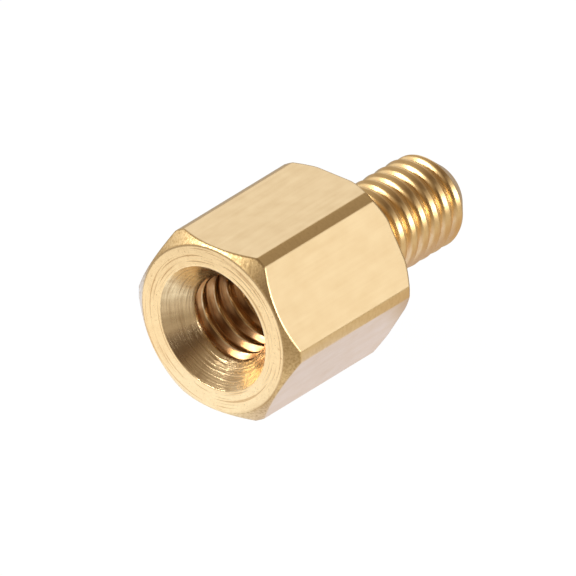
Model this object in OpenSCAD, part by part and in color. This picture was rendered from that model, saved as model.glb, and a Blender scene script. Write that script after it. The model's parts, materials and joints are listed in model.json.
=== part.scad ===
// Male to female hex standoff, turned from drawn brass hexagon bar.
// It lies along X on one of its flats: the tapped end faces -X and the stud points to +X.
// The origin is on the axis, in the plane of the shoulder that seats on a board.
// Both threads are drawn as plain cylinders, at the diameter that a mate meets.

/* [Hexagon body] */
// Width across the flats of the bar
across_flats = 5.5; // [5:0.1:7]
// Depth turned off each corner of the bar, on the radius
corner_turn = 0.1; // [0.02:0.01:0.2]
// Length of the body, from the tapped face to the shoulder
body_len = 5.65; // [4:0.05:30]

/* [Thread] */
// Nominal diameter of the metric thread, in the hole and on the stud
thread_d = 3; // [2.5:0.5:3.5]
// Pitch of the thread, which sets the tapping drill
thread_pitch = 0.5; // [0.35:0.05:0.7]
// How far the stud's crests lie under the nominal diameter
stud_allowance = 0.05; // [0:0.01:0.1]

/* [Tapped end] */
// How far the flat ring of the face stops short of the flats
face_inset = 0.07; // [0.02:0.01:0.4]
// Slope of the chamfer on the tapped end, measured from the face
face_chamfer_angle = 39; // [20:1:50]
// How far the countersink's mouth stands outside the thread, on the radius
sink_margin = 0.5; // [0.2:0.05:0.6]
// Full angle of the countersink
sink_angle = 77; // [60:1:120]
// Full angle of the drill's point at the bottom of the hole
drill_point_angle = 118; // [90:1:140]
// Metal left between the drill's point and the shoulder plane
web = 0.7; // [0.3:0.05:2]

/* [Shoulder] */
// How far the shoulder's plane runs past the flats, out into the corners
shoulder_over = 0.05; // [0.01:0.01:0.2]
// Slope of the chamfer on the shoulder, measured from the shoulder plane
shoulder_chamfer_angle = 45; // [20:1:50]

/* [Stud] */
// Length of the stud, from the shoulder to its tip
stud_len = 4.75; // [3:0.05:12]
// How far the lead chamfer cuts into the radius at the stud's tip
stud_tip_chamfer = 0.5; // [0.1:0.02:0.6]
// Slope of the lead chamfer, measured from the axis
stud_tip_angle = 40; // [20:1:60]

/* [Hidden] */
$fn = 96;
turned_colour = [0.80, 0.68, 0.45];
bore_colour = [0.55, 0.38, 0.20];
stud_colour = [0.86, 0.66, 0.33];

// Hexagon bar and the turned edges at its two ends
corner_r = across_flats / 2 / cos(30) - corner_turn;
face_r = across_flats / 2 - face_inset;
shoulder_r = across_flats / 2 + shoulder_over;
face_chamfer_len = (corner_r - face_r) * tan(face_chamfer_angle);
shoulder_chamfer_len = (corner_r - shoulder_r) * tan(shoulder_chamfer_angle);

// Countersink, tapping drill and drill point
hole_r = (thread_d - thread_pitch) / 2;
sink_r = thread_d / 2 + sink_margin;
sink_depth = (sink_r - hole_r) / tan(sink_angle / 2);
point_len = hole_r / tan(drill_point_angle / 2);
hole_depth = body_len - web - point_len;

// Stud, which starts a little inside the body so that the two are one solid
stud_r = thread_d / 2 - stud_allowance / 2;
stud_tip_len = stud_tip_chamfer / tan(stud_tip_angle);
stud_root = web / 2;

// The tool runs out past a face that it opens
past = 0.5;

// Bar with flats, standing on its tapped end, one flat towards the table once it is laid down
module hexagon_bar() {
    color(turned_colour)
        rotate([0, 0, 30])
            cylinder(d = across_flats / cos(30), h = body_len, $fn = 6);
}

// Everything that the lathe leaves of the bar: turned corners, a chamfered face and a chamfered shoulder
module turned_outline() {
    color(turned_colour)
        rotate_extrude()
            polygon([
                [0, 0],
                [face_r, 0],
                [corner_r, face_chamfer_len],
                [corner_r, body_len - shoulder_chamfer_len],
                [shoulder_r, body_len],
                [0, body_len]
            ]);
}

// Blind hole: countersink, tapping drill and the drill's point, one profile turned about the axis
module tapped_hole() {
    past_r = sink_r + past * tan(sink_angle / 2);
    color(bore_colour)
        rotate_extrude()
            polygon([
                [0, -past],
                [past_r, -past],
                [hole_r, sink_depth],
                [hole_r, hole_depth],
                [0, hole_depth + point_len]
            ]);
}

// Stud with a chamfered lead, standing on the shoulder plane
module stud() {
    color(stud_colour)
        rotate_extrude()
            polygon([
                [0, -stud_root],
                [stud_r, -stud_root],
                [stud_r, stud_len - stud_tip_len],
                [stud_r - stud_tip_chamfer, stud_len],
                [0, stud_len]
            ]);
}

module hex_standoff() {
    rotate([0, 90, 0])
        difference() {
            union() {
                translate([0, 0, -body_len])
                    intersection() {
                        hexagon_bar();
                        turned_outline();
                    }
                stud();
            }
            translate([0, 0, -body_len]) tapped_hole();
        }
}

hex_standoff();
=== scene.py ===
import json
import math

import bmesh
import bpy
from mathutils import Matrix, Vector


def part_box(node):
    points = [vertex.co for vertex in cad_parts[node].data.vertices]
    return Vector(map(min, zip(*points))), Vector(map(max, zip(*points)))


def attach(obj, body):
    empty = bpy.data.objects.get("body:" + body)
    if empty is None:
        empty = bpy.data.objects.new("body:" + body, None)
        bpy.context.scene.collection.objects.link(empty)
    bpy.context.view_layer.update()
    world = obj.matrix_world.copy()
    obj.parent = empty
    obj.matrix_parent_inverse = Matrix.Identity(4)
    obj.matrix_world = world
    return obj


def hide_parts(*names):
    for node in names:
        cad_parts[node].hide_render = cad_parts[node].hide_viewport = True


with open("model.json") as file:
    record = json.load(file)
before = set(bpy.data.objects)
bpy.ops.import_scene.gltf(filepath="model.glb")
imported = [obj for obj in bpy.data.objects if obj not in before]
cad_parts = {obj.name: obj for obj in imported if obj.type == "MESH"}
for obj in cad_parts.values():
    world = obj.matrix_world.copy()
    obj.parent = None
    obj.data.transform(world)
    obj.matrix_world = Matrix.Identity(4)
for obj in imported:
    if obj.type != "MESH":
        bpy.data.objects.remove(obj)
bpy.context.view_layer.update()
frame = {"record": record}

# Hexagon body. Drawn brass bar, 5.5 mm across the flats, with its six corners turned down a little.
# The lathe faces both ends and chamfers them, so each chamfer's cone cuts the flats in curved arcs.
# The flats keep the die's satin skin, the face has turned rings and the chamfers a torn grain.
MM = 0.001
low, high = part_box("hex_standoff")
mounts = {mount["name"]: mount for mount in frame["record"]["mounts"]}
face_x = low[0]
tip_x = high[0]
across_flats = high[2] - low[2]
corner_r = high[1]
face_inset = 0.07 * MM
face_r = across_flats / 2 - face_inset
face_chamfer_angle = math.radians(39)
shoulder_over = 0.05 * MM
shoulder_r = across_flats / 2 + shoulder_over
shoulder_chamfer_angle = math.radians(45)
sink_r = 2.0 * MM
stud_r = mounts["stud"]["dims"]["r_mm"] * MM
edge_break = 0.03 * MM
rim_break = 0.06 * MM

# A sixth of the turn, as numbers of columns of faces and the degrees that each number spans:
# half a corner band, an edge break, a flat, an edge break and half a corner band
flat_columns = 20
band_half_angle = 30 - math.degrees(math.acos(across_flats / 2 / corner_r))
break_angle = math.degrees(edge_break / corner_r)
corner_edge = [
    (1, band_half_angle - 2 * break_angle),
    (1, break_angle),
    (2, 2 * break_angle),
    (1, break_angle),
]
flat_angle = 60 - 2 * band_half_angle - 4 * break_angle
sixth = corner_edge + [(flat_columns, flat_angle)] + corner_edge[::-1]
columns_in_sixth = sum(count for count, width in sixth)
columns = 6 * columns_in_sixth


class Wire:
    """One output of a node. Python's operators on it add Math nodes to its tree."""

    def __init__(self, nodes, socket):
        self.nodes = nodes
        self.socket = socket

    def math(self, operation, *others):
        return self.nodes.math(operation, self, *others)

    def __add__(self, other):
        return self.math("ADD", other)

    def __sub__(self, other):
        return self.math("SUBTRACT", other)

    def __rsub__(self, other):
        return self.nodes.math("SUBTRACT", other, self)

    def __mul__(self, other):
        return self.math("MULTIPLY", other)

    def __truediv__(self, other):
        return self.math("DIVIDE", other)

    def __rtruediv__(self, other):
        return self.nodes.math("DIVIDE", other, self)

    __radd__ = __add__
    __rmul__ = __mul__

    def least(self, other):
        return self.math("MINIMUM", other)

    def most(self, other):
        return self.math("MAXIMUM", other)

    def between_0_and_1(self):
        return self.least(1).most(0)


class Nodes:
    """A node tree. add() makes a node, sets it, fills its sockets and returns one of its outputs.

    Two settings have names of their own: choices, the number of a switch's values, and stops, a ramp's
    places and colours.
    """

    def __init__(self, tree):
        self.tree = tree

    def add(self, kind, sockets=None, settings=None, output=0):
        node = self.tree.nodes.new(kind)
        for name, value in (settings or {}).items():
            if name == "choices":
                for extra in range(value - 2):
                    node.index_switch_items.new()
            elif name == "stops":
                ramp = node.color_ramp
                ramp.elements[0].position, ramp.elements[0].color = value[0]
                ramp.elements[1].position, ramp.elements[1].color = value[-1]
                for position, colour in value[1:-1]:
                    ramp.elements.new(position).color = colour
            else:
                setattr(node, name, value)
        self.fill(node, sockets or {})
        return Wire(self, node.outputs[output]) if node.outputs else None

    def fill(self, node, sockets):
        """Links a wire to, or sets a value on, each of these sockets of a node."""
        for key, value in sockets.items():
            if isinstance(value, Wire):
                self.tree.links.new(value.socket, node.inputs[key])
            else:
                node.inputs[key].default_value = value

    def math(self, operation, *values):
        return self.add("ShaderNodeMath", dict(enumerate(values)), {"operation": operation})

    def pick(self, index, values):
        """The value that stands at this index in a list of values."""
        sockets = {0: index}
        sockets.update({place + 1: value for place, value in enumerate(values)})
        settings = {"data_type": "FLOAT", "choices": len(values)}
        return self.add("GeometryNodeIndexSwitch", sockets, settings)

    def ramp(self, value, start, stop, low, high):
        """Runs from low to high while value runs from start to stop, and stays level past both ends."""
        sockets = {"Value": value, "From Min": start, "From Max": stop, "To Min": low, "To Max": high}
        return self.add("ShaderNodeMapRange", sockets, {"clamp": True})

    def vector(self, x, y, z):
        return self.add("ShaderNodeCombineXYZ", {"X": x, "Y": y, "Z": z})

    def parts(self, vector):
        """The X, Y and Z of a vector."""
        x = self.add("ShaderNodeSeparateXYZ", {"Vector": vector})
        return [Wire(self, output) for output in x.socket.node.outputs]

    def mixed(self, mask, colour, other_colour):
        """A colour where the mask is 0, and the other one where it is 1."""
        sockets = {0: mask, 6: colour, 7: other_colour}
        return self.add("ShaderNodeMix", sockets, {"data_type": "RGBA"}, output=2)


def new_tree(name, inputs):
    """An empty Geometry Nodes tree with named size inputs, and a dictionary of wires from them."""
    tree = bpy.data.node_groups.new(name, "GeometryNodeTree")
    tree.interface.new_socket("Geometry", in_out="OUTPUT", socket_type="NodeSocketGeometry")
    for name_of_input in inputs:
        tree.interface.new_socket(name_of_input, in_out="INPUT", socket_type="NodeSocketFloat")
    nodes = Nodes(tree)
    group_input = nodes.add("NodeGroupInput").socket.node
    wires = {name_of_input: Wire(nodes, group_input.outputs[name_of_input]) for name_of_input in inputs}
    return nodes, wires


def grid_place(index, rows):
    """The row and the column of a grid's point or face."""
    return index.math("MODULO", rows), (index / rows).math("FLOOR")


def column_angle(nodes, column):
    """A column's angle about the axis, in radians from +Y, and its angle from the middle of its flat."""
    place = column.math("FLOORED_MODULO", columns_in_sixth)
    sixths = (column / columns_in_sixth).math("FLOOR")
    in_sixth = 0
    start = 0
    for count, width in sixth:
        in_sixth = in_sixth + nodes.ramp(place, start, start + count, 0, width)
        start += count
    return (60 * sixths + in_sixth).math("RADIANS"), (in_sixth - 30).math("RADIANS")


def finish_tree(nodes, grid, x, radius, angle, materials):
    """Moves a grid's points to x, radius and angle about the X axis, and gives its faces materials."""
    place = nodes.vector(x, radius * angle.math("COSINE"), radius * angle.math("SINE"))
    mesh = nodes.add("GeometryNodeSetPosition", {"Geometry": grid, "Position": place})
    mesh = nodes.add("GeometryNodeSetShadeSmooth", {"Geometry": mesh, "Shade Smooth": True})
    mesh = nodes.add("GeometryNodeRealizeInstances", {"Geometry": mesh})
    for material, selection in materials:
        sockets = {"Geometry": mesh, "Selection": selection, "Material": material}
        mesh = nodes.add("GeometryNodeSetMaterial", sockets)
    nodes.add("NodeGroupOutput", {0: mesh})


def grown(name, tree, sizes):
    """The plain mesh that a tree makes from these values of its inputs."""
    holder = bpy.data.objects.new(name, bpy.data.meshes.new(name))
    bpy.context.scene.collection.objects.link(holder)
    modifier = holder.modifiers.new(name, "NODES")
    modifier.node_group = tree
    for item in tree.interface.items_tree:
        if item.in_out == "INPUT":
            modifier[item.identifier] = sizes[item.name]
    depsgraph = bpy.context.evaluated_depsgraph_get()
    mesh = bpy.data.meshes.new_from_object(holder.evaluated_get(depsgraph))
    bpy.data.objects.remove(holder)
    return mesh


def brass(name, colour, dark_colour, roughness, pattern, bump_depth):
    """Bare brass with the marks that pattern gives, tool marks and, in the tapped hole, painted shade: a
    mask of them from 0 to 1, and their height.

    The mask takes the metal from colour to dark_colour and roughens it, and bump_depth scales the height.
    """
    roughened = 0.1
    material = bpy.data.materials.new(name)
    material.use_nodes = True
    nodes = Nodes(material.node_tree)
    where = nodes.add("ShaderNodeTexCoord", output="Object")
    marks, height = pattern(nodes, where)
    bump = nodes.add("ShaderNodeBump", {"Strength": 1.0, "Distance": bump_depth, "Height": height})
    nodes.fill(material.node_tree.nodes["Principled BSDF"], {
        "Metallic": 1.0,
        "Base Color": nodes.mixed(marks, colour + (1,), dark_colour + (1,)),
        "Roughness": roughness + marks * roughened,
        "Normal": bump,
    })
    return material


def noise(nodes, place, detail=2.0):
    """A noise value at a place that is measured in the noise's own cells."""
    return nodes.add("ShaderNodeTexNoise", {"Vector": place, "Scale": 1.0, "Detail": detail})


def grain(nodes, where, cells_per_metre, detail=2.0):
    """A noise value whose cells have their own size along X, Y and Z."""
    place = nodes.add("ShaderNodeMapping", {"Vector": where, "Scale": cells_per_metre})
    return noise(nodes, place, detail)


def drawn_skin(nodes, where):
    """Fine lengthwise lines of the drawing die and soft cloudy mottling."""
    lines = grain(nodes, where, (300, 9000, 9000))
    clouds = grain(nodes, where, (1500, 2500, 2500))
    return nodes.ramp(clouds * 0.6 + lines * 0.4, 0.35, 0.75, 0.0, 1.0), lines


def about_axis(nodes, where):
    """A point's distance from the X axis, and its angle about it."""
    y, z = nodes.parts(where)[1:]
    return (y * y + z * z).math("SQRT"), nodes.math("ARCTAN2", z, y)


def turned_rings(nodes, where):
    """The facing tool's feed marks, thin rings that fade in and out, tiny pits and faint clouds."""
    rings_per_metre = 17000
    fades_round = 1.1
    feed_per_metre = 50000
    pits_per_metre = 11000
    clouds_per_metre = 4500
    specks_per_metre = 24000
    radius, around = about_axis(nodes, where)
    ring_place = nodes.vector(
        radius * rings_per_metre,
        around.math("COSINE") * fades_round,
        around.math("SINE") * fades_round,
    )
    rings = nodes.ramp(noise(nodes, ring_place, 1.0), 0.58, 0.66, 0.0, 1.0)
    feed = noise(nodes, nodes.vector(radius * feed_per_metre, around * 0.8, 0.0))
    pits = nodes.ramp(grain(nodes, where, [pits_per_metre] * 3), 0.64, 0.74, 0.0, 1.0)
    clouds = nodes.ramp(grain(nodes, where, [clouds_per_metre] * 3), 0.40, 0.70, 0.0, 0.12)
    specks = nodes.ramp(grain(nodes, where, [specks_per_metre] * 3), 0.50, 0.75, 0.0, 0.26)
    marks = (rings * 0.75 + pits * 0.6 + clouds + specks).least(1)
    return marks, feed * 0.35 - rings - pits


def chamfer_grain(nodes, where):
    """The short, rough tears of a chamfer cut in one plunge."""
    tears = grain(nodes, where, (14000, 14000, 14000), 4.0)
    return nodes.ramp(tears, 0.40, 0.70, 0.0, 1.0), tears


def corner_grain(nodes, where):
    """The turning tool's short strokes across the corners of the bar."""
    strokes = grain(nodes, where, (10000, 7000, 7000), 3.0)
    return nodes.ramp(strokes, 0.35, 0.70, 0.0, 1.0), strokes


drawn_brass = brass(
    "drawn_brass",
    colour=(0.91, 0.695, 0.385),
    dark_colour=(0.87, 0.65, 0.35),
    roughness=0.30,
    pattern=drawn_skin,
    bump_depth=0.002 * MM,
)
turned_brass = brass(
    "turned_brass",
    colour=(0.975, 0.73, 0.415),
    dark_colour=(0.66, 0.41, 0.19),
    roughness=0.25,
    pattern=turned_rings,
    bump_depth=0.0015 * MM,
)
chamfer_brass = brass(
    "chamfer_brass",
    colour=(0.94, 0.69, 0.35),
    dark_colour=(0.66, 0.45, 0.20),
    roughness=0.35,
    pattern=chamfer_grain,
    bump_depth=0.006 * MM,
)
corner_brass = brass(
    "corner_brass",
    colour=(0.95, 0.70, 0.35),
    dark_colour=(0.85, 0.61, 0.29),
    roughness=0.30,
    pattern=corner_grain,
    bump_depth=0.0015 * MM,
)

bar_inputs = [
    "Face x", "Length", "Across flats", "Corner radius", "Mouth radius", "Face radius", "Face slope",
    "Shoulder radius", "Shoulder slope", "Stud radius", "Edge break", "Rim break",
]
bar, size = new_tree("turned_hexagon_bar", bar_inputs)

# The bar's outline has five segments: face, chamfer, side, shoulder chamfer and shoulder.
# Each has three rows of faces, and the narrow first and last of them soften its rims.
chamfer_segment = 1
side_segment = 2
segments = 5
rows_in_segment = 3
rows = segments * rows_in_segment + 1
index = bar.add("GeometryNodeInputIndex")
row, column = grid_place(index, rows)
angle, from_flat = column_angle(bar, column)
flat_r = size["Across flats"] / 2 / from_flat.math("COSINE")
bar_r = bar.math("SMOOTH_MIN", flat_r, size["Corner radius"], size["Edge break"] / 3)
back_r = size["Shoulder radius"].least(bar_r - size["Edge break"])
profile = [
    (0, size["Mouth radius"]),
    (0, size["Face radius"]),
    ((bar_r - size["Face radius"]) * size["Face slope"], bar_r),
    (size["Length"] - (bar_r - back_r) * size["Shoulder slope"], bar_r),
    (size["Length"], back_r),
    (size["Length"], size["Stud radius"]),
]
most_rim_share = 0.3
xs = [profile[0][0]]
radii = [profile[0][1]]
for (x_from, r_from), (x_to, r_to) in zip(profile, profile[1:]):
    run = x_to - x_from
    rise = r_to - r_from
    length = (rise * rise + run * run).math("SQRT")
    rim_share = (size["Rim break"] / length).least(most_rim_share)
    for share in (rim_share, 1 - rim_share):
        xs.append(share * run + x_from)
        radii.append(share * rise + r_from)
    xs.append(x_to)
    radii.append(r_to)
grid = bar.add("GeometryNodeMeshGrid", {"Vertices X": columns + 1, "Vertices Y": rows})

# Where materials are given, the index counts faces, of which a column has one fewer than of points
face_row, face_column = grid_place(index, rows - 1)
segment = (face_row / rows_in_segment).math("FLOOR")
is_side = segment.math("COMPARE", side_segment, 0.5)
is_chamfer = segment.math("COMPARE", chamfer_segment, 0.5)
corner_columns = 3
in_sixth = face_column.math("MODULO", columns_in_sixth)
off_middle = (in_sixth - (columns_in_sixth - 1) / 2).math("ABSOLUTE")
is_corner = is_side * off_middle.math("GREATER_THAN", columns_in_sixth / 2 - corner_columns)
finish_tree(bar, grid, size["Face x"] + bar.pick(row, xs), bar.pick(row, radii), angle, [
    (turned_brass, True),
    (drawn_brass, is_side),
    (chamfer_brass, is_chamfer),
    (corner_brass, is_corner),
])
body_mesh = grown("hexagon_body", bar.tree, {
    "Face x": face_x,
    "Length": -face_x,
    "Across flats": across_flats,
    "Corner radius": corner_r,
    "Mouth radius": sink_r,
    "Face radius": face_r,
    "Face slope": math.tan(face_chamfer_angle),
    "Shoulder radius": shoulder_r,
    "Shoulder slope": math.tan(shoulder_chamfer_angle),
    "Stud radius": stud_r,
    "Edge break": edge_break,
    "Rim break": rim_break,
})

# Tapped hole. A blind hole in the brass bar: drilled, countersunk at its mouth and tapped for M3.
# The tap stops short of the drill's point, where its threads run out.
# The hand and pitch of the turns follow the photograph; with thread_hand = 1 they are right-handed.
thread_hand = -1
hole_pitch = 0.58 * MM
hole_r = mounts["tapped_hole"]["dims"]["r_mm"] * MM
sink_angle = math.radians(77)
drill_point_angle = math.radians(118)
point_len = hole_r / math.tan(drill_point_angle / 2)
web = 0.7 * MM
untapped_len = 0.6 * MM
hole_bottom_x = -web - point_len
tap_stop_x = hole_bottom_x - untapped_len


def sink_rings(nodes, where):
    """Rings of the countersink's cutter, crossed by faint spokes of chatter.

    The cutter leaned to one side, so the rings are deeper there, and deeper towards the hole.
    """
    rings_per_metre = 19000
    feed_per_metre = 70000
    spokes_round = 9
    leaned_to = math.radians(272)
    radius, around = about_axis(nodes, where)
    rings = noise(nodes, nodes.vector(radius * rings_per_metre, around * 1.2, 0.0), 3.0)
    feed = noise(nodes, nodes.vector(radius * feed_per_metre, around * 2, 0.0), 1.0)
    spoke_place = nodes.vector(
        radius * 900,
        around.math("COSINE") * spokes_round,
        around.math("SINE") * spokes_round,
    )
    spokes = noise(nodes, spoke_place)
    lean = nodes.ramp((around - leaned_to).math("COSINE"), 0.55, 0.92, 0.30, 1.0)
    depth = lean * nodes.ramp(radius, 1.35 * MM, 1.85 * MM, 2.0, 0.8)
    dents = (rings + feed * 0.4) * depth + spokes * 0.3
    lines = nodes.ramp(rings, 0.45, 0.70, 0.0, 1.0)
    return lines * 0.6 + nodes.ramp(spokes, 0.45, 0.75, 0.0, 0.4), dents


def tapped_grain_and_shade(nodes, where):
    """Bright crests that the drill left, and painted shade, a dark brown, on the flanks and roots of the
    grooves.
    """
    shade_from = hole_r + 0.09 * MM
    shade_full = hole_r + 0.12 * MM
    waver = 0.03 * MM
    radius, around = about_axis(nodes, where)
    tears = grain(nodes, where, (9000, 3000, 3000), 3.0)
    groove_shade = nodes.ramp(radius + tears * waver, shade_from, shade_full, 0.0, 1.0)
    return groove_shade * nodes.ramp(tears, 0.3, 0.6, 0.8, 1.0), tears


sink_brass = brass(
    "countersunk_brass",
    colour=(0.92, 0.71, 0.42),
    dark_colour=(0.52, 0.35, 0.18),
    roughness=0.24,
    pattern=sink_rings,
    bump_depth=0.010 * MM,
)
# Its dark colour is painted shade on the flanks and roots of the thread's grooves.
tapped_brass = brass(
    "tapped_brass",
    colour=(0.95, 0.77, 0.51),
    dark_colour=(0.46, 0.235, 0.095),
    roughness=0.14,
    pattern=tapped_grain_and_shade,
    bump_depth=0.001 * MM,
)

# Rows of points in one turn of a thread, in the hole and on the stud
rows_in_turn = 24
thread_inputs = [
    "Start x", "Stop x", "Land radius", "Crest width", "Crest slope", "Flank slope", "Cut depth",
    "Rounding", "Pitch", "Hand", "Start turn", "Side", "Mouth x", "Mouth radius", "Mouth slope",
    "Mouth rounding", "Run out x", "Run out length", "Lead in x", "Lead in length", "Cap x",
]


def thread_tree(name, turns, lip):
    """A tree that turns a helical thread about the X axis, for a hole (side 1) or a stud (side -1).

    Faces within lip of the mouth's cone are marked, so that they can take the cutter's metal.
    """
    thread, size = new_tree(name, thread_inputs)
    helix_rows = rows_in_turn + math.ceil(turns * rows_in_turn) + 1
    cap_rows = 6
    rows = helix_rows + cap_rows
    row, column = grid_place(thread.add("GeometryNodeInputIndex"), rows)
    angle = column_angle(thread, column)[0]

    # A row of points climbs along the helix, so that each crest and root keeps to its own rows
    turn = angle / math.tau * size["Hand"]
    climb = row / rows_in_turn - (size["Hand"] + 1) / 2 + turn
    x = (size["Start x"] + climb * size["Pitch"]).most(size["Start x"]).least(size["Stop x"])
    phase = ((x - size["Start x"]) / size["Pitch"] - turn - size["Start turn"]).math("FRACT")
    from_crest = (0.5 - (phase - 0.5).math("ABSOLUTE")) * size["Pitch"]

    # How deep the tool cuts at that distance from the crest: the crest, the flank, then the root
    down_flank = thread.math("SMOOTH_MAX", from_crest - size["Crest width"] / 2, 0.0, size["Rounding"])
    cut = from_crest * size["Crest slope"] + down_flank * (size["Flank slope"] - size["Crest slope"])
    cut = thread.math("SMOOTH_MIN", cut, size["Cut depth"], size["Rounding"])

    # The cut fades in and out along the axis, and the mouth's cone takes the crests off
    side = size["Side"]
    run_out = ((x - size["Run out x"]) / size["Run out length"]).between_0_and_1()
    lead_in = ((x - size["Lead in x"]) / size["Lead in length"]).between_0_and_1()
    cut_r = size["Land radius"] + side * cut * run_out * lead_in
    mouth_r = size["Mouth radius"] + size["Mouth slope"] * (x - size["Mouth x"]).math("ABSOLUTE")
    radius = side * thread.math("SMOOTH_MAX", side * cut_r, side * mouth_r, size["Mouth rounding"])

    # The last rows close the end, flat or as a cone, on the axis at the cap's own x
    past = (row - (helix_rows - 1)).most(0) / cap_rows
    past = past * past
    x = x + (size["Cap x"] - size["Stop x"]) * past
    radius = radius * (1 - past)
    grid = thread.add("GeometryNodeMeshGrid", {"Vertices X": columns + 1, "Vertices Y": rows})

    x_now, y_now, z_now = thread.parts(thread.add("GeometryNodeInputPosition"))
    cone_r = size["Mouth radius"] + size["Mouth slope"] * (x_now - size["Mouth x"]).math("ABSOLUTE")
    off_cone = (y_now * y_now + z_now * z_now).math("SQRT") - cone_r
    on_mouth = off_cone.math("ABSOLUTE").math("LESS_THAN", lip)
    return thread, grid, x, radius, angle, on_mouth


hole_turns = (hole_bottom_x - face_x) / hole_pitch
hole, grid, x, radius, angle, on_mouth = thread_tree("tapped_hole", hole_turns, lip=0.10 * MM)
finish_tree(hole, grid, x, radius, angle, [(tapped_brass, True), (sink_brass, on_mouth)])
hole_mesh = grown("tapped_hole", hole.tree, {
    "Start x": face_x,
    "Stop x": hole_bottom_x,
    "Land radius": hole_r + 0.05 * MM,
    "Crest width": 0.10 * MM,
    "Crest slope": 0.0,
    "Flank slope": math.tan(math.radians(56)),
    "Cut depth": 0.24 * MM,
    "Rounding": 0.07 * MM,
    "Pitch": hole_pitch,
    "Hand": thread_hand,
    "Start turn": 0.05,
    "Side": 1.0,
    "Mouth x": face_x,
    "Mouth radius": sink_r,
    "Mouth slope": -math.tan(sink_angle / 2),
    "Mouth rounding": 0.16 * MM,
    "Run out x": tap_stop_x,
    "Run out length": -1.0 * MM,
    "Lead in x": face_x + 0.84 * MM,
    "Lead in length": 0.16 * MM,
    "Cap x": hole_bottom_x + point_len,
})

# Stud. Turned down from the same brass bar and threaded for M3 with a die, almost up to the shoulder.
# Its tip has a short lead chamfer, and the thread runs out in the last turn before the shoulder.
# Its pitch follows the photograph too.
stud_pitch = 0.52 * MM
tip_chamfer = 0.50 * MM
tip_angle = math.radians(40)


def cut_thread(nodes, where):
    """The torn grain that a die leaves on the flanks."""
    tears = grain(nodes, where, (16000, 5000, 5000))
    return nodes.ramp(tears, 0.45, 0.75, 0.0, 1.0), tears


thread_brass = brass(
    "threaded_brass",
    colour=(0.94, 0.675, 0.33),
    dark_colour=(0.88, 0.605, 0.27),
    roughness=0.30,
    pattern=cut_thread,
    bump_depth=0.0002 * MM,
)
stud_turns = tip_x / stud_pitch
stud, grid, x, radius, angle, on_mouth = thread_tree("threaded_stud", stud_turns, lip=0.004 * MM)
finish_tree(stud, grid, x, radius, angle, [(thread_brass, True), (turned_brass, on_mouth)])
stud_mesh = grown("threaded_stud", stud.tree, {
    "Start x": 0.0,
    "Stop x": tip_x,
    "Land radius": stud_r,
    "Crest width": 0.30 * MM,
    "Crest slope": math.tan(math.radians(23)),
    "Flank slope": math.tan(math.radians(55)),
    "Cut depth": 0.24 * MM,
    "Rounding": 0.05 * MM,
    "Pitch": stud_pitch,
    "Hand": thread_hand,
    "Start turn": 0.40,
    "Side": -1.0,
    "Mouth x": tip_x,
    "Mouth radius": stud_r - tip_chamfer,
    "Mouth slope": math.tan(tip_angle),
    "Mouth rounding": 0.03 * MM,
    "Run out x": 0.0,
    "Run out length": 0.4 * MM,
    "Lead in x": tip_x,
    "Lead in length": -0.04 * MM,
    "Cap x": tip_x,
})

# The whole standoff. Body, hole and stud are one piece of brass, so their meshes are welded into one
# closed skin. It stands for the solid, whose threads are plain cylinders.
weld_distance = 0.0002 * MM
sliver_length = 0.0001 * MM
skin = bmesh.new()
skin_materials = []
for mesh in (body_mesh, hole_mesh, stud_mesh):
    first = len(skin.faces)
    skin.from_mesh(mesh)
    skin.faces.ensure_lookup_table()
    for material in mesh.materials:
        if material not in skin_materials:
            skin_materials.append(material)
    places = [skin_materials.index(material) for material in mesh.materials]
    for face in skin.faces[first:]:
        face.material_index = places[face.material_index]
bmesh.ops.remove_doubles(skin, verts=skin.verts, dist=weld_distance)
bmesh.ops.dissolve_degenerate(skin, edges=skin.edges, dist=sliver_length)
bmesh.ops.recalc_face_normals(skin, faces=skin.faces)
standoff_mesh = bpy.data.meshes.new("brass_hex_standoff")
skin.to_mesh(standoff_mesh)
open_edges = sum(1 for edge in skin.edges if not edge.is_manifold)
triangles = sum(len(face.verts) - 2 for face in skin.faces)
print("standoff: open edges", open_edges, "triangles", triangles)
skin.free()
for material in skin_materials:
    standoff_mesh.materials.append(material)
standoff = bpy.data.objects.new("brass_hex_standoff", standoff_mesh)
bpy.context.scene.collection.objects.link(standoff)
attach(standoff, "root")
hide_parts("hex_standoff")

# Table. A plain white studio table under the part, with no edge in sight.
# The camera sees it white. In the metal it shows painted shade and painted light, soft spots of tone
# that stand for the shade the real part casts and the white beyond it.
table_reach = 3.0
table_corners = [
    (table_reach * x, table_reach * y, low[2])
    for x, y in ((-1, -1), (1, -1), (1, 1), (-1, 1))
]
floor_mesh = bpy.data.meshes.new("studio_table")
floor_mesh.from_pydata(table_corners, [], [(0, 1, 2, 3)])
floor = bpy.data.objects.new("studio_table", floor_mesh)
bpy.context.scene.collection.objects.link(floor)
table_white = bpy.data.materials.new("table_white")
table_white.use_nodes = True
table_tree = table_white.node_tree
table_tree.nodes.remove(table_tree.nodes["Principled BSDF"])
table = Nodes(table_tree)
along_x, along_y = table.parts(table.add("ShaderNodeTexCoord", output="Object"))[:2]
glossy_ray = table.add("ShaderNodeLightPath", output="Is Glossy Ray")
camera_ray = table.add("ShaderNodeLightPath", output="Is Camera Ray")


def painted_spot(paint, x_mm, y_mm, inner_mm, outer_mm, colour):
    """Painted light and shade: lays a colour over the paint on a soft-edged round spot of the table."""
    off_x = along_x - x_mm * MM
    off_y = along_y - y_mm * MM
    away = (off_x * off_x + off_y * off_y).math("SQRT")
    spot = table.ramp(away, inner_mm * MM, outer_mm * MM, 1.0, 0.0)
    return table.mixed(spot, paint, colour + (1,))


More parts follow.
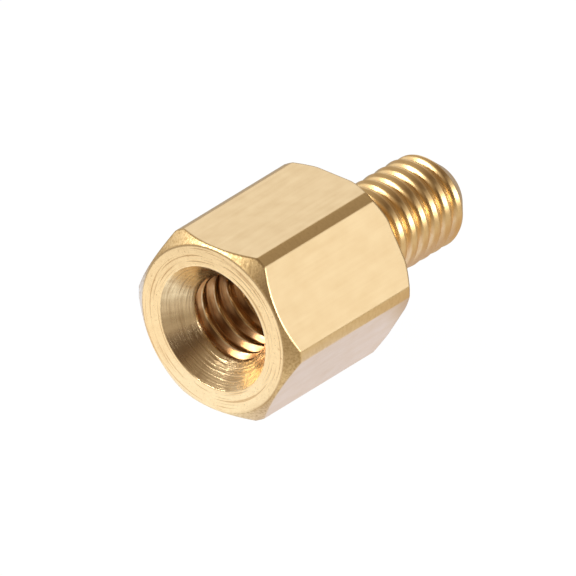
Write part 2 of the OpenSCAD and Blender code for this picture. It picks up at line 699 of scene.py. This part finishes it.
# Painted shade beside the part, mirrored by the lower flat, the chamfer, the lower corner band and the
# stud
painted_shade_and_light = painted_spot((0.43, 0.38, 0.32, 1), 1, -6, inner_mm=4, outer_mm=12, colour=(0.72, 0.67, 0.62))
painted_shade_and_light = painted_spot(painted_shade_and_light, 4.6, -4.2, inner_mm=1.6, outer_mm=4.2, colour=(0.58, 0.46, 0.36))
painted_shade_and_light = painted_spot(painted_shade_and_light, 2.7, -1.8, inner_mm=0.6, outer_mm=2.2, colour=(0.60, 0.54, 0.62))

# Painted shade far behind and painted light close behind the part, mirrored by the upper left corner
# band and the chamfer's left
painted_shade_and_light = painted_spot(painted_shade_and_light, 14, 18, inner_mm=6, outer_mm=14, colour=(0.41, 0.48, 0.60))
painted_shade_and_light = painted_spot(painted_shade_and_light, -3, 8, inner_mm=3, outer_mm=6, colour=(0.90, 1.14, 1.80))

# Painted light before the tapped end, mirrored by the chamfer's right, the countersink's left and the
# whole face
painted_shade_and_light = painted_spot(painted_shade_and_light, -7.1, -3.3, inner_mm=0.7, outer_mm=1.4, colour=(0.86, 0.83, 0.81))
painted_shade_and_light = painted_spot(painted_shade_and_light, -9, -2.6, inner_mm=0.8, outer_mm=1.5, colour=(0.75, 0.70, 0.66))
painted_shade_and_light = painted_spot(painted_shade_and_light, -9.9, 3.9, inner_mm=4.8, outer_mm=6.0, colour=(1.08, 1.08, 1.06))

# Painted light close under the body, mirrored by the lower flat and the bottom of the chamfer
painted_shade_and_light = painted_spot(painted_shade_and_light, -2.2, -2, inner_mm=3, outer_mm=4.0, colour=(0.83, 0.86, 1.14))
painted_shade_and_light = painted_spot(painted_shade_and_light, -6.3, 0.9, inner_mm=1.5, outer_mm=2.8, colour=(1.10, 1.16, 1.24))

# The camera sees plain white with a trace of the part's true shade
plain_share = 0.93
painted_shade_and_light = table.mixed(camera_ray, painted_shade_and_light, (1.05, 1.05, 1.05, 1))
plain = table.add("ShaderNodeEmission", {"Color": painted_shade_and_light, "Strength": 1.0})
lit = table.add("ShaderNodeBsdfDiffuse", {"Color": (0.93, 0.93, 0.93, 1)})
shown = table.add("ShaderNodeMixShader", {0: camera_ray * plain_share + glossy_ray, 1: lit, 2: plain})
table.fill(table_tree.nodes["Material Output"], {"Surface": shown})
floor_mesh.materials.append(table_white)

# Studio light. A dim room, paler on its +Y side and low down, with soft pale patches for the metal to
# mirror, and two soft boxes, which draw the highlights on the threads and on the rim of the face.
world = bpy.data.worlds.new("studio")
bpy.context.scene.world = world
world.use_nodes = True
air = Nodes(world.node_tree)
way = air.add("ShaderNodeTexCoord", output="Generated")
across, up = air.parts(way)[1:]


def pale_patch(direction, inner, outer, brightness):
    """A soft-edged pale patch of the room round a direction, its two radii in degrees."""
    sockets = {0: way, 1: Vector(direction).normalized()}
    toward = air.add("ShaderNodeVectorMath", sockets, {"operation": "DOT_PRODUCT"}, output="Value")
    outside = math.cos(math.radians(outer))
    inside = math.cos(math.radians(inner))
    return air.ramp(toward, outside, inside, 0.0, brightness)


level = air.ramp(across, -0.30, 0.40, 0.08, 0.42) + air.ramp(up, 0.02, 0.20, 0.22, 0.0)

# Mirrored in turn by the top flat, the stud, the right flat and the upper left of the chamfer
level = level + pale_patch((0.64, 0.55, 0.53), inner=14, outer=26, brightness=0.60)
level = level + pale_patch((0.25, -0.88, 0.38), inner=28, outer=42, brightness=0.48)
level = level + pale_patch((0.60, -0.77, 0.23), inner=16, outer=28, brightness=0.62)
level = level + pale_patch((-0.25, 0.95, 0.14), inner=12, outer=22, brightness=0.45)

# Mirrored in turn by the upper corner band, the lower left of the countersink, the chamfer beside
# that corner band, and the left of the countersink
level = level + pale_patch((0.67, -0.16, 0.72), inner=10, outer=22, brightness=0.19)
level = level + pale_patch((-0.54, -0.21, 0.82), inner=8, outer=20, brightness=0.14)
level = level + pale_patch((-0.83, -0.06, 0.55), inner=6, outer=16, brightness=0.17)
level = level + pale_patch((-0.52, -0.86, 0.01), inner=6, outer=16, brightness=0.20)

# The camera sees the room white. Elsewhere its dim parts are warm, as the real metal shows them
level = level.most(air.add("ShaderNodeLightPath", output="Is Camera Ray"))
tint = air.add("ShaderNodeValToRGB", {0: level}, {"stops": [
    (0.08, (1.0, 0.58, 0.30, 1)),
    (0.32, (1.0, 0.82, 0.62, 1)),
    (0.85, (1.0, 1.0, 1.05, 1)),
]})
air.fill(world.node_tree.nodes["Background"], {"Color": tint, "Strength": level})


def soft_box(name, way, distance, width, height, radiance):
    """An area lamp on a direction from the part, turned to face it."""
    lamp = bpy.data.lights.new(name, "AREA")
    lamp.shape = "RECTANGLE"
    lamp.size = width
    lamp.size_y = height
    lamp.energy = radiance * math.pi * width * height
    box = bpy.data.objects.new(name, lamp)
    way = Vector(way).normalized()
    facing = way.to_track_quat("Z", "Y").to_matrix().to_4x4()
    box.matrix_world = Matrix.Translation(way * distance) @ facing
    bpy.context.scene.collection.objects.link(box)


soft_box("left_box", (-0.695, 0.51, 0.505), distance=0.5, width=0.29, height=0.12, radiance=9.6)
soft_box("front_box", (-0.03, -0.93, 0.36), distance=0.5, width=0.32, height=0.15, radiance=6.0)

# Camera. The photograph shows no perspective, so the camera has none. It has the photograph's angle and
# scale, and the tapped face's centre lands on the pixel where the photograph has it.
image_px = 576
px_per_metre = 34055
face_centre_px = (212.9, 328.9)
view_azimuth = math.radians(-50.85)
view_elevation = math.radians(30.0)
camera_roll = math.radians(0.2)
camera_distance = 0.3
to_camera = Vector((
    math.sin(view_azimuth) * math.cos(view_elevation),
    -math.cos(view_azimuth) * math.cos(view_elevation),
    math.sin(view_elevation),
))
turn = to_camera.to_track_quat("Z", "Y") @ Matrix.Rotation(camera_roll, 3, "Z").to_quaternion()
right = turn @ Vector((1, 0, 0))
upward = turn @ Vector((0, 1, 0))
offset_x = (face_centre_px[0] - image_px / 2) / px_per_metre
offset_y = (image_px / 2 - face_centre_px[1]) / px_per_metre
aim = Vector((face_x, 0, 0)) - right * offset_x - upward * offset_y
camera_data = bpy.data.cameras.new("photo_camera")
camera_data.type = "ORTHO"
camera_data.ortho_scale = image_px / px_per_metre
camera_data.clip_start = 0.01
camera_data.clip_end = 3.0
camera = bpy.data.objects.new("photo_camera", camera_data)
camera.matrix_world = Matrix.Translation(aim + to_camera * camera_distance) @ turn.to_matrix().to_4x4()
bpy.context.scene.collection.objects.link(camera)
bpy.context.scene.camera = camera
bpy.context.scene.view_settings.view_transform = "Standard"
